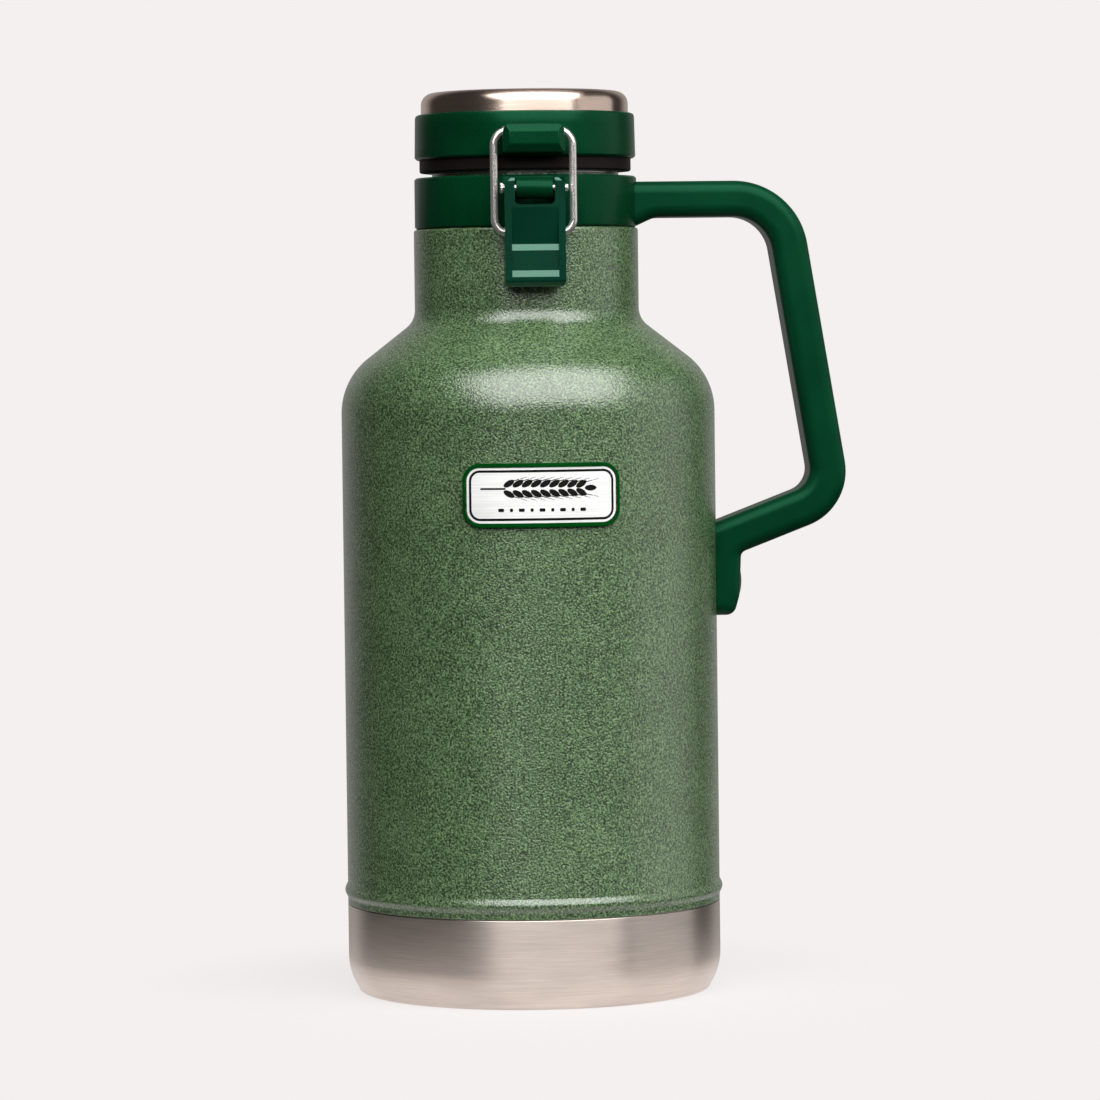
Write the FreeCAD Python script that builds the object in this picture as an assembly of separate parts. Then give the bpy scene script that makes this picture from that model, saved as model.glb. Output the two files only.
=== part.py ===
import FreeCAD, Part
import math
import os

from FreeCAD import Vector

# Insulated half-gallon growler with a latched, hinged lid and a side handle.
# Millimetres. Z is up, the origin is the middle of the foot plane.
# The latch and badge face -Y, the handle is on +X, the lid hinge is on +Y.

# ---- bottle ----
body_diameter = 127.0
shoulder_top_z = 232.0       # where the cone runs into the neck
shoulder_drop = 35.0         # from the neck foot down to the full diameter
neck_radius = 38.1
neck_height = 27.1           # from the shoulder up to the ledge the collar stands on
wall = 0.8
cup_height = 30.1
cup_wall = 0.9
seam_gap = 0.2
bead_rise = 4.5              # bead's middle above the shell's lower edge
bead_height = 5.3
bead_proud = 0.95
foot_inset = 3.3
foot_curve = 19.4
foot_recess = 2.2            # middle of the base, raised clear of the table
mouth_radius = 27.0
upper_neck_step = 4.7        # reduced neck inside the collar, beyond the mouth
vacuum_gap = 5.6
vessel_wall = 0.7
vessel_floor_z = 14.0
vessel_corner = 9.0
getter_offset = 18.0
port_radius = 7.0

# ---- collar ----
collar_inset = 0.4           # collar narrower than the painted neck
collar_height = 17.2
collar_lift = 0.2            # gap to the painted ledge
lip_above_collar = 1.7

# ---- lid ----
band_inset = 1.6             # black band set in from the ring
band_height = 4.4
ring_inset = 0.2             # lid ring narrower than the collar
ring_height = 15.2
ring_wall = 2.3
cap_corner = 4.1
cap_above_ring = 8.2
cap_dome = 1.0
cap_wall = 0.8
seal_gap = 0.1
plug_gap = 2.4               # plug to mouth
plug_depth = 7.4
seal_height = 1.6

# ---- lid hinge ----
hinge_stand = 5.3            # pin axis behind the collar's side
hinge_above_collar = 0.9
knuckle_radius = 4.0
knuckle_width = 15.0
hinge_ear = 4.4
hinge_side_gap = 0.35
hinge_pin_radius = 1.5

# ---- latch ----
pivot_stand = 5.5            # lever pin axis in front of the collar's side
pivot_below_collar_top = 4.7
boss_width = 12.1
boss_radius = 3.5
lever_width = 20.2
ear_side_gap = 0.6           # each ear to the collar's boss
lever_ear_radius = 3.85
ear_corner = 1.6
lever_reach = 32.8           # below the pin
lever_stand = 0.9            # lever's back to the painted neck
lever_rail = 2.3
panel_depth = 1.9            # upper panel's foot below the lever's face
thumb_depth = 0.95
ear_chamfer = 2.7
latch_pin_radius = 1.3
latch_pin_proud = 1.25
wire_radius = 1.3
wire_stand = 3.05            # bail leg's middle beyond the lever's side
wire_corner = 5.2
wire_turn = 4.4
wire_below_pin = 14.8
wire_behind_pin = 1.8
wire_end_depth = 5.4         # wire end inside the lever's side
bar_stand = 2.8              # bail's top bar in front of the lid ring
bar_below_hook_top = 1.8
hook_width = 20.6
hook_height = 9.6
hook_above_band = 0.6
hook_lip = 2.1
hook_bevel = 2.1
groove_under_bar = 0.45
wire_end_drop = 0.85          # extra depth where the bar starts to bend down
groove_front = 0.75          # clearance ahead of the resting bar at the groove's foot
groove_mouth = 2.85          # and at the lip's top, for the bar's swing
running = 0.06               # radial clearance of every turning fit

# ---- handle ----
handle_width = 21.0
handle_round = 4.0
arm_thickness = 12.2
leg_thickness = 12.3
lower_thickness = 12.8
arm_above_middle = 0.6      # arm's middle above the collar's
grip_top_out = 23.2          # upright's middle line beyond the body, at the arm
grip_low_out = 39.8          # and at the lower bend
grip_low_drop = 64.9         # lower bend below the shoulder's top
handle_root_drop = 15.2      # lower arm's fall from the bend to the body
top_bend = 19.5
low_bend = 13.6
foot_below_screw = 11.6
foot_proud = 8.2
tongue_width = 12.0
tongue_height = 7.6
screw_drop = 28.6            # screw below the lower bend
screw_cap_diameter = 12.5
bracket_width = 11.0
bracket_height = 24.0
bracket_thickness = 3.0
bracket_lift = 1.0           # bracket's middle above the screw
screw_head_height = 1.6
screw_cap_rise = 1.2

# ---- badge ----
badge_width = 51.9
badge_height = 21.1
badge_drop = 61.5            # badge's middle below the shoulder's top
badge_corner = 5.8
badge_border_width = 1.35
badge_thickness = 1.1
plate_below_border = 0.25

fit = 0.05                   # radial clearance of fixed, pushed-together parts
loose = 0.6                  # clearance round the lid's knuckle
body_radius = body_diameter / 2
foot_radius = body_radius - foot_inset
shell_low_z = cup_height + seam_gap
shoulder_low_z = shoulder_top_z - shoulder_drop
neck_top_z = shoulder_top_z + neck_height
upper_neck_radius = mouth_radius + upper_neck_step
collar_radius = neck_radius - collar_inset
ring_radius = collar_radius - ring_inset
band_radius = ring_radius - band_inset
plug_radius = mouth_radius - plug_gap
collar_foot_z = neck_top_z + collar_lift
collar_top_z = collar_foot_z + collar_height
lip_z = collar_top_z + lip_above_collar
band_z = lip_z + seal_gap
ring_z = band_z + band_height
ring_top_z = ring_z + ring_height
lid_top_z = ring_top_z + cap_above_ring
ring_inner = ring_radius - ring_wall
cap_radius = ring_inner - fit
hook_z = ring_z + hook_above_band
hook_top_z = hook_z + hook_height
hinge_out = collar_radius + hinge_stand
hinge_z = collar_top_z + hinge_above_collar
pivot_out = collar_radius + pivot_stand
pivot_z = collar_top_z - pivot_below_collar_top
lever_back = neck_radius + lever_stand
lever_ear_gap = boss_width + 2 * ear_side_gap
wire_half_width = lever_width / 2 + wire_stand
wire_hinge_out = pivot_out - wire_behind_pin
wire_z = pivot_z - wire_below_pin
bar_out = ring_radius + bar_stand
bar_z = hook_top_z - bar_below_hook_top
bar_height = bar_z - wire_z
arm_z = collar_foot_z + collar_height / 2 + arm_above_middle
grip_top_x = body_radius + grip_top_out
grip_low_x = body_radius + grip_low_out
grip_low_z = shoulder_top_z - grip_low_drop
handle_root_z = grip_low_z - handle_root_drop
screw_z = grip_low_z - screw_drop
foot_low_z = screw_z - foot_below_screw
badge_z = shoulder_top_z - badge_drop
vessel_weld_z = shoulder_top_z + 2.0
bracket_z = screw_z + bracket_lift
screw_seat_x = body_radius + bracket_thickness + 1.7
cap_seat_x = screw_seat_x + screw_head_height + 4 * fit


def save(shape, name):
    if not shape.isValid() or len(shape.Solids) == 0:
        raise ValueError(name + " is not a valid solid")
    shape.exportStep("parts/" + name + ".step")
    print(name, len(shape.Solids), round(shape.Volume, 1))


def line(a, b):
    return Part.LineSegment(Vector(*a), Vector(*b)).toShape()


def arc(a, middle, b):
    return Part.Arc(Vector(*a), Vector(*middle), Vector(*b)).toShape()


def face_of(points):
    loop = [Vector(*p) for p in points]
    return Part.Face(Part.makePolygon(loop + [loop[0]]))


def turned(points):
    # Solid of revolution about Z from an outline of (radius, z) points.
    return face_of([(r, 0, z) for r, z in points]).revolve(Vector(), Vector(0, 0, 1), 360)


def tube(outer, inner, low, high):
    return turned([(inner, low), (outer, low), (outer, high), (inner, high)])


def block(low, high):
    size = [b - a for a, b in zip(low, high)]
    return Part.makeBox(size[0], size[1], size[2], Vector(*low))


def rod(radius, start, end):
    a = Vector(*start)
    span = Vector(*end) - a
    return Part.makeCylinder(radius, span.Length, a, span)


def rounded(points, radii):
    # Closed chain of edges through (a, b) corners, each corner with its own radius.
    edges = []
    count = len(points)
    ends = []
    for i in range(count):
        p = Vector(points[i][0], points[i][1], 0)
        before = (Vector(points[i - 1][0], points[i - 1][1], 0) - p).normalize()
        after = (Vector(points[(i + 1) % count][0], points[(i + 1) % count][1], 0) - p).normalize()
        radius = radii[i]
        if radius <= 0:
            ends.append((p, None, p))
            continue
        half = before.getAngle(after) / 2
        reach = radius / math.tan(half)
        middle = (before + after).normalize()
        centre = p + middle * (radius / math.sin(half))
        ends.append((p + before * reach, centre - middle * radius, p + after * reach))
    for i in range(count):
        start, middle, end = ends[i]
        if middle is not None:
            edges.append(Part.Arc(start, middle, end).toShape())
        following = ends[(i + 1) % count][0]
        if (following - end).Length > 1e-6:
            edges.append(Part.LineSegment(end, following).toShape())
    return Part.Face(Part.Wire(edges))


def side_slab(points, radii, width, middle_x=0.0):
    # Outline of (forward, z) corners in a plane across X, made into a slab facing -Y.
    flat = rounded(points, radii)
    slab = flat.extrude(Vector(0, 0, width))
    turn = FreeCAD.Matrix(0, 0, 1, middle_x - width / 2, -1, 0, 0, 0, 0, 1, 0, 0, 0, 0, 0, 1)
    return slab.transformGeometry(turn)


def along_y(face, width):
    # Outline drawn in (x, z), made into a slab centred on Y = 0.
    slab = face.extrude(Vector(0, 0, width))
    slab.rotate(Vector(), Vector(1, 0, 0), 90)
    slab.translate(Vector(0, width / 2, 0))
    return slab


def front_slab(points, radii, depth):
    # Outline of (x, z) corners seen from the front, made into a slab from Y = 0 to -depth.
    slab = rounded(points, radii).extrude(Vector(0, 0, depth))
    slab.rotate(Vector(), Vector(1, 0, 0), 90)
    return slab


def bulge(start, end, rise, steps=12):
    # Points of a shallow circular curve from start to end, rise to the right of travel.
    dr = end[0] - start[0]
    dz = end[1] - start[1]
    chord = math.hypot(dr, dz)
    radius = (chord * chord / 4 + rise * rise) / (2 * rise)
    half = math.asin(min(1.0, chord / 2 / radius))
    side = (dz / chord, -dr / chord)
    points = []
    for i in range(steps + 1):
        angle = -half + 2 * half * i / steps
        along = radius * math.sin(angle)
        out = radius * math.cos(angle) - radius * math.cos(half)
        middle = ((start[0] + end[0]) / 2, (start[1] + end[1]) / 2)
        points.append((middle[0] + dr / chord * along + side[0] * out,
                       middle[1] + dz / chord * along + side[1] * out))
    return points


def shoulder_points():
    # Outer shoulder from the full diameter up to the neck: convex, straight cone, concave.
    convex_top = (body_radius - 9.2, shoulder_top_z - 16.3)
    cone_top = (neck_radius + 3.1, shoulder_top_z - 6.1)
    lower = bulge((body_radius, shoulder_low_z), convex_top, 2.62)
    upper = bulge(cone_top, (neck_radius, shoulder_top_z), -0.86)
    return lower + upper


def offset_in(points, distance):
    result = []
    for i, (r, z) in enumerate(points):
        before = points[max(i - 1, 0)]
        after = points[min(i + 1, len(points) - 1)]
        dr = after[0] - before[0]
        dz = after[1] - before[1]
        size = math.hypot(dr, dz)
        result.append((r - dz / size * distance, z + dr / size * distance))
    return result


def make_outer_shell():
    bead_z = shell_low_z + bead_rise
    bead = [(body_radius, bead_z - bead_height / 2),
            (body_radius + bead_proud * 0.75, bead_z - bead_height * 0.3),
            (body_radius + bead_proud, bead_z),
            (body_radius + bead_proud * 0.75, bead_z + bead_height * 0.3),
            (body_radius, bead_z + bead_height / 2)]
    shoulder = shoulder_points()
    ledge = 1.2
    outside = [(body_radius, shell_low_z)] + bead + shoulder
    outside += [(neck_radius, neck_top_z - ledge), (neck_radius - ledge * 0.3, neck_top_z - ledge * 0.3),
                (neck_radius - ledge, neck_top_z), (upper_neck_radius, neck_top_z),
                (upper_neck_radius, lip_z - vessel_wall - fit)]
    inside = [(upper_neck_radius - wall, lip_z - vessel_wall - fit),
              (upper_neck_radius - wall, neck_top_z - wall),
              (neck_radius - wall - ledge * 0.6, neck_top_z - wall),
              (neck_radius - wall, neck_top_z - wall - ledge)]
    inside += list(reversed(offset_in(shoulder, wall)))
    inside += [(body_radius - wall, bead_z + bead_height / 2),
               (body_radius - wall + bead_proud, bead_z),
               (body_radius - wall, bead_z - bead_height / 2),
               (body_radius - wall, shell_low_z)]
    return turned(outside + inside)


def make_base_cup():
    # Deep-drawn steel cup: bare skirt, curved foot, recessed middle, spigot inside the shell.
    outer = [(body_radius, cup_height)]
    bottom_z = 1.6
    start_z = bottom_z + math.sqrt(foot_curve ** 2 - (foot_curve - foot_inset) ** 2)
    for i in range(13):
        z = start_z + (bottom_z - start_z) * i / 12
        inset = foot_curve - math.sqrt(max(foot_curve ** 2 - (start_z - z) ** 2, 0))
        outer.append((body_radius - inset, z))
    edge = 2.0
    for i in range(1, 7):
        angle = math.radians(90 * i / 6)
        outer.append((foot_radius - edge * (1 - math.cos(angle)), bottom_z * (1 - math.sin(angle))))
    foot_in = foot_radius - edge - 4.0
    recess = foot_recess
    outer += [(foot_in, 0), (foot_in - 2.0, recess * 0.35), (foot_in - 4.0, recess), (0, recess)]
    inner = [(0, recess + cup_wall), (foot_in - 4.4, recess + cup_wall),
             (foot_in - 1.9, recess * 0.35 + cup_wall), (foot_in, cup_wall),
             (foot_radius - edge, cup_wall)]
    for i in range(7):
        angle = math.radians(90 - 90 * i / 6)
        inner.append((foot_radius - edge + (edge - cup_wall * 0.9) * math.cos(angle),
                      bottom_z + 0.55 - (bottom_z + 0.55 - cup_wall) * math.sin(angle)))
    for i in range(12, -1, -2):
        z = start_z + (bottom_z + 0.9 - start_z) * i / 12
        inset = foot_curve - math.sqrt(max(foot_curve ** 2 - (start_z - z) ** 2, 0))
        inner.append((body_radius - cup_wall - inset, z + 0.25))
    spigot = body_radius - wall - fit
    inner += [(body_radius - cup_wall, cup_height - 2.5), (spigot - wall, cup_height - 1.0),
              (spigot - wall, cup_height + 3.0), (spigot, cup_height + 3.0),
              (spigot, cup_height)]
    return turned(outer + inner)


def make_inner_vessel():
    # Drawn inner bottle up to the weld under its neck.
    body_in = offset_in(shoulder_points(), vacuum_gap)
    outer_r = body_in[0][0]
    throat = mouth_radius + vessel_wall
    shoulder = [p for p in body_in[:-1] if p[0] > throat + 1.0]
    low_z = vessel_floor_z - vessel_wall
    outside = [(0, low_z)]
    inside = [(0, vessel_floor_z)]
    for i in range(7):
        angle = math.radians(90 * i / 6)
        over = 1 - math.cos(angle)
        middle_r = outer_r - vessel_corner
        outside.append((middle_r + vessel_corner * math.sin(angle), low_z + vessel_corner * over))
        inside.append((middle_r + (vessel_corner - vessel_wall) * math.sin(angle),
                       vessel_floor_z + (vessel_corner - vessel_wall) * over))
    outside += shoulder + [(throat, vessel_weld_z - 1.0), (throat, vessel_weld_z)]
    inside += offset_in(shoulder, vessel_wall) + [(mouth_radius, vessel_weld_z - 1.4), (mouth_radius, vessel_weld_z)]
    return turned(outside + list(reversed(inside)))


def make_inner_neck():
    # Neck tube welded on, its top turned out over the outer neck as the lip.
    edge = 0.35
    throat = mouth_radius + vessel_wall
    lip_under = lip_z - vessel_wall
    return turned([(throat, vessel_weld_z), (throat, lip_under), (upper_neck_radius, lip_under),
                   (upper_neck_radius, lip_z - edge), (upper_neck_radius - edge, lip_z),
                   (mouth_radius + edge, lip_z), (mouth_radius, lip_z - edge), (mouth_radius, vessel_weld_z)])


def make_port_disc():
    # Disc that seals the evacuation port, in the recess under the cup.
    return Part.makeCylinder(port_radius, 0.8, Vector(0, 0, foot_recess - 0.85))


def make_getter():
    height = 3.0
    return Part.makeCylinder(6.0, height, Vector(getter_offset, 0, vessel_floor_z - vessel_wall - height - fit))


def make_collar():
    edge = 0.6
    inner = upper_neck_radius + fit
    ring = turned([(inner, collar_foot_z), (collar_radius - edge, collar_foot_z),
                   (collar_radius, collar_foot_z + edge), (collar_radius, collar_top_z - edge),
                   (collar_radius - edge, collar_top_z), (inner, collar_top_z)])
    # Latch boss: a barrel on a short web.
    barrel = rod(boss_radius, (-boss_width / 2, -pivot_out, pivot_z), (boss_width / 2, -pivot_out, pivot_z))
    web = block((-boss_width / 2, -pivot_out, pivot_z - boss_radius),
                (boss_width / 2, -collar_radius + 2.5, pivot_z + boss_radius * 0.86))
    collar = ring.fuse([barrel, web])
    # Rear hinge ears.
    for side in (-1, 1):
        near = side * (knuckle_width / 2 + hinge_side_gap)
        far = near + side * hinge_ear
        low_x = min(near, far)
        high_x = max(near, far)
        ear = rod(knuckle_radius, (low_x, hinge_out, hinge_z), (high_x, hinge_out, hinge_z))
        cheek = rounded([(collar_radius - 4.5, collar_foot_z + 1.0), (collar_radius + 0.2, collar_foot_z + 1.0),
                         (hinge_out + knuckle_radius, hinge_z - 1.0), (hinge_out + knuckle_radius, hinge_z),
                         (hinge_out, hinge_z), (hinge_out - 1.0, collar_top_z - 0.6),
                         (collar_radius - 4.5, collar_top_z - 0.6)], [0, 0, 0, 0, 0, 0, 0])
        cheek = cheek.extrude(Vector(0, 0, hinge_ear))
        turn = FreeCAD.Matrix(0, 0, 1, low_x, 1, 0, 0, 0, 0, 1, 0, 0, 0, 0, 0, 1)
        collar = collar.fuse([ear, cheek.transformGeometry(turn)])
    # Room for the lid's knuckle to turn in.
    sweep = rod(knuckle_radius + loose, (-knuckle_width / 2 - hinge_side_gap, hinge_out, hinge_z),
                (knuckle_width / 2 + hinge_side_gap, hinge_out, hinge_z))
    collar = collar.cut(sweep)
    pin_hole = rod(latch_pin_radius + fit, (-lever_width, -pivot_out, pivot_z), (lever_width, -pivot_out, pivot_z))
    hinge_hole = rod(hinge_pin_radius + fit, (-20, hinge_out, hinge_z), (20, hinge_out, hinge_z))
    slot = block((collar_radius - 5.5, -tongue_width / 2 - fit, arm_z - tongue_height / 2 - fit),
                 (collar_radius + 5, tongue_width / 2 + fit, arm_z + tongue_height / 2 + fit))
    bore = Part.makeCylinder(inner, 60, Vector(0, 0, collar_foot_z - 20))
    return collar.cut([pin_hole, hinge_hole, slot, bore])


def handle_slab():
    # Outline of the handle as a flat slab, and the edges that are rounded.
    half = arm_thickness / 2
    slope = math.atan2(grip_low_x - grip_top_x, arm_z - grip_low_z)
    low_slope = math.atan2(grip_low_z - handle_root_z, grip_low_x - body_radius)
    leg = leg_thickness / 2
    low = lower_thickness / 2

    def meet(p, d, q, e):
        # Crossing of two straight lines, each a point and a direction.
        det = d[0] * -e[1] + e[0] * d[1]
        t = ((q[0] - p[0]) * -e[1] + e[0] * (q[1] - p[1])) / det
        return (p[0] + t * d[0], p[1] + t * d[1])

    across_leg = (math.cos(slope), math.sin(slope))
    down_leg = (math.sin(slope), -math.cos(slope))
    along_low = (-math.cos(low_slope), -math.sin(low_slope))
    across_low = (math.sin(low_slope), -math.cos(low_slope))
    leg_out = (grip_low_x + across_leg[0] * leg, grip_low_z + across_leg[1] * leg)
    leg_in = (grip_low_x - across_leg[0] * leg, grip_low_z - across_leg[1] * leg)
    low_under = (grip_low_x + across_low[0] * low, grip_low_z + across_low[1] * low)
    low_over = (grip_low_x - across_low[0] * low, grip_low_z - across_low[1] * low)
    outer_top = meet((0, arm_z + half), (1, 0), leg_out, down_leg)
    inner_top = meet((0, arm_z - half), (1, 0), leg_in, down_leg)
    outer_low = meet(leg_out, down_leg, low_under, along_low)
    inner_low = meet(leg_in, down_leg, low_over, along_low)
    foot_x = body_radius + foot_proud
    root = collar_radius - 3.0
    body_in = body_radius - 3.0
    under_foot = meet(low_under, along_low, (foot_x, 0), (0, 1))
    over_body = meet(low_over, along_low, (body_in, 0), (0, 1))
    outline = [(root, arm_z + half), outer_top, outer_low, under_foot,
               (foot_x - 0.6, foot_low_z + 7.0), (foot_x - 2.6, foot_low_z), (body_in, foot_low_z),
               over_body, inner_low, inner_top, (collar_radius + 5.6, arm_z - half),
               (root, collar_foot_z - 0.8)]
    radii = [0, top_bend + half, low_bend + leg, 2.4, 12.0, 3.6, 0, 0, low_bend - leg + 0.5,
             top_bend - half, 9.0, 0]
    slab = along_y(rounded(outline, radii), handle_width)
    long_edges = []
    for e in slab.Edges:
        box = e.BoundBox
        if box.YLength > 0.01 or box.XLength < 0.01 and box.XMax < body_radius:
            continue
        long_edges.append(e)
    return slab, long_edges


def make_handle():
    slab, long_edges = handle_slab()
    handle = slab.makeFillet(handle_round, long_edges)
    collar_side = Part.makeCylinder(collar_radius + fit, 40, Vector(0, 0, neck_top_z - 10))
    body_side = Part.makeCylinder(body_radius + fit, shoulder_low_z)
    handle = handle.cut([collar_side, body_side])
    tongue = block((collar_radius - 5.0, -tongue_width / 2, arm_z - tongue_height / 2),
                   (collar_radius + 3.0, tongue_width / 2, arm_z + tongue_height / 2))
    handle = handle.fuse(tongue)
    pocket = block((0, -bracket_width / 2 - fit, bracket_z - bracket_height / 2 - fit),
                   (body_radius + bracket_thickness + 0.15, bracket_width / 2 + fit,
                    bracket_z + bracket_height / 2 + fit))
    shank = rod(2.2, (0, 0, screw_z), (body_radius + 30, 0, screw_z))
    seat = rod(4.2, (screw_seat_x, 0, screw_z), (body_radius + 30, 0, screw_z))
    rim = rod(screw_cap_diameter / 2 + fit, (cap_seat_x, 0, screw_z), (body_radius + 30, 0, screw_z))
    return handle.cut([pocket, shank, seat, rim])


def make_bracket():
    # Stud plate spot-welded to the body.
    plate = block((body_radius - 4.0, -bracket_width / 2, bracket_z - bracket_height / 2),
                  (body_radius + bracket_thickness, bracket_width / 2, bracket_z + bracket_height / 2))
    plate = plate.cut(Part.makeCylinder(body_radius + 0.02, lid_top_z))
    return plate.cut(rod(1.65, (0, 0, screw_z), (body_radius + 30, 0, screw_z)))


def make_handle_screw():
    start = screw_seat_x + fit
    shank = rod(1.6, (body_radius + 0.4, 0, screw_z), (start + 0.2, 0, screw_z))
    head = rod(3.4, (start, 0, screw_z), (start + screw_head_height, 0, screw_z))
    socket = rod(1.3, (start + 0.7, 0, screw_z), (start + 3.0, 0, screw_z))
    return shank.fuse(head).cut(socket)


def make_screw_cap():
    # Domed plug over the screw head.
    radius = screw_cap_diameter / 2
    edge_x = cap_seat_x + fit + 1.1
    ball = (radius ** 2 + screw_cap_rise ** 2) / (2 * screw_cap_rise)
    dome = Part.makeSphere(ball)
    dome.translate(Vector(edge_x + screw_cap_rise - ball, 0, screw_z))
    dome = dome.common(rod(radius, (edge_x, 0, screw_z), (edge_x + 6.0, 0, screw_z)))
    return rod(radius, (cap_seat_x + fit, 0, screw_z), (edge_x, 0, screw_z)).fuse(dome)


def badge_block(half_angle_deg, height, corner, inner_r, outer_r):
    # Rounded rectangle wrapped on the body: a cut-out ring sector.
    half = inner_r * math.radians(half_angle_deg)
    ring = tube(outer_r, inner_r, badge_z - height / 2 - 1, badge_z + height / 2 + 1)
    flat_half = outer_r * math.sin(math.radians(half_angle_deg))
    corners = [(-flat_half, badge_z - height / 2), (flat_half, badge_z - height / 2),
               (flat_half, badge_z + height / 2), (-flat_half, badge_z + height / 2)]
    window = rounded(corners, [corner] * 4).extrude(Vector(0, 0, outer_r + 5))
    window.rotate(Vector(), Vector(1, 0, 0), 90)
    return ring.common(window)


def make_badge():
    outer_r = body_radius + badge_thickness
    half = math.degrees(math.asin(badge_width / 2 / outer_r))
    inset = math.degrees(badge_border_width / outer_r)
    base_r = body_radius + 0.02
    border = badge_block(half, badge_height, badge_corner, base_r, outer_r)
    hole = badge_block(half - inset, badge_height - 2 * badge_border_width,
                       badge_corner - badge_border_width, base_r - 1, outer_r + 1)
    gap = math.degrees(fit / outer_r)
    plate = badge_block(half - inset - gap, badge_height - 2 * badge_border_width - 2 * fit,
                        badge_corner - badge_border_width - fit, base_r, outer_r - plate_below_border)
    return border.cut(hole), plate


def make_lid_ring():
    low_edge = 0.7
    top_edge = 1.1
    draft = 0.25
    ring = turned([(ring_inner, ring_z), (ring_radius - low_edge, ring_z), (ring_radius, ring_z + low_edge),
                   (ring_radius - draft, ring_top_z - top_edge),
                   (ring_radius - draft - top_edge * 0.3, ring_top_z - top_edge * 0.3),
                   (ring_radius - draft - top_edge, ring_top_z), (ring_inner, ring_top_z)])
    # Hook: a block with a groove for the wire bar and a leaning front lip.
    groove_z = bar_z - wire_radius - groove_under_bar
    lip_out = bar_out + wire_radius + groove_mouth
    front = lip_out + hook_lip
    hook = side_slab([(ring_radius - 1.6, hook_z), (front - 2.0, hook_z), (front, hook_z + 3.0),
                      (front, hook_top_z - 2.4), (lip_out + 0.7, hook_top_z), (ring_radius - 1.6, hook_top_z)],
                     [0, 1.8, 1.2, 0.8, 0.3, 0], hook_width)
    half = hook_width / 2
    plan = rounded([(-half, -ring_radius + 6), (-half, -front + hook_bevel), (-half + hook_bevel, -front),
                    (half - hook_bevel, -front), (half, -front + hook_bevel), (half, -ring_radius + 6)],
                   [0, 0.8, 0.8, 0.8, 0.8, 0]).extrude(Vector(0, 0, 30))
    plan.translate(Vector(0, 0, hook_z - 5))
    elevation = front_slab([(-half, hook_z), (half, hook_z), (half, hook_top_z), (-half, hook_top_z)],
                           [1.0, 1.0, 2.6, 2.6], front + 5)
    hook = hook.common(plan).common(elevation)
    keep = Part.makeCylinder(ring_inner + 0.4, 80, Vector(0, 0, ring_z - 20))
    hook = hook.cut(keep)
    groove = side_slab([(bar_out - wire_radius - 0.45, groove_z), (bar_out + wire_radius + groove_front, groove_z),
                        (lip_out, hook_top_z - 2.2), (lip_out, hook_top_z + 4),
                        (bar_out - wire_radius - 0.45, hook_top_z + 4)],
                       [1.0, 1.1, 0.6, 0, 0], hook_width + 4)
    groove_end = side_slab([(bar_out - wire_radius - 0.45, groove_z - wire_end_drop),
                            (bar_out + wire_radius + 2 * groove_front, groove_z - wire_end_drop),
                            (bar_out + wire_radius + 3 * groove_front, groove_z + 1.5),
                            (bar_out - wire_radius - 0.45, groove_z + 1.5)], [0.8, 0.8, 0, 0], 8.0)
    ends = [groove_end.copy(), groove_end.copy()]
    ends[0].translate(Vector(-wire_half_width + wire_corner - 4.0 + 0.6, 0, 0))
    ends[1].translate(Vector(wire_half_width - wire_corner + 4.0 - 0.6, 0, 0))
    groove = groove.fuse(ends)
    hook = hook.cut(groove.cut(Part.makeCylinder(ring_radius + 0.02, 80, Vector(0, 0, ring_z - 20))))
    # Rear knuckle and its web.
    knuckle = rod(knuckle_radius, (-knuckle_width / 2, hinge_out, hinge_z), (knuckle_width / 2, hinge_out, hinge_z))
    web_face = rounded([(ring_radius - 1.6, ring_z + 0.4), (hinge_out - 2.2, ring_z - 1.6),
                        (hinge_out - 1.0, hinge_z), (hinge_out + knuckle_radius, hinge_z),
                        (hinge_out + knuckle_radius, hinge_z + 1.5), (ring_radius + 1.4, ring_z + 10.5),
                        (ring_radius - 1.6, ring_z + 10.5)], [0, 0.5, 0, 0, 2.0, 1.0, 0])
    web = web_face.extrude(Vector(0, 0, knuckle_width))
    turn = FreeCAD.Matrix(0, 0, 1, -knuckle_width / 2, 1, 0, 0, 0, 0, 1, 0, 0, 0, 0, 0, 1)
    web = web.transformGeometry(turn).cut(keep)
    ring = ring.fuse([hook, knuckle, web])
    pin_hole = rod(hinge_pin_radius + running, (-20, hinge_out, hinge_z), (20, hinge_out, hinge_z))
    return ring.cut(pin_hole)


def make_lid_cap():
    # Drawn steel pan with a slightly domed top.
    skirt_z = ring_z + 3.0
    dome = cap_dome
    outer = [(cap_radius, skirt_z)]
    for i in range(9):
        angle = math.radians(90 * i / 8)
        outer.append((cap_radius - cap_corner + cap_corner * math.cos(angle),
                      lid_top_z - dome - cap_corner + cap_corner * math.sin(angle)))
    outer += [(cap_radius * 0.6, lid_top_z - dome * 0.35), (0, lid_top_z)]
    corner = cap_corner - cap_wall
    inner = [(0, lid_top_z - cap_wall), (cap_radius * 0.6, lid_top_z - dome * 0.35 - cap_wall)]
    for i in range(8, -1, -1):
        angle = math.radians(90 * i / 8)
        inner.append((cap_radius - cap_corner + corner * math.cos(angle),
                      lid_top_z - dome - cap_corner + corner * math.sin(angle)))
    inner.append((cap_radius - cap_wall, skirt_z))
    return turned(outer + inner)


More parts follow.
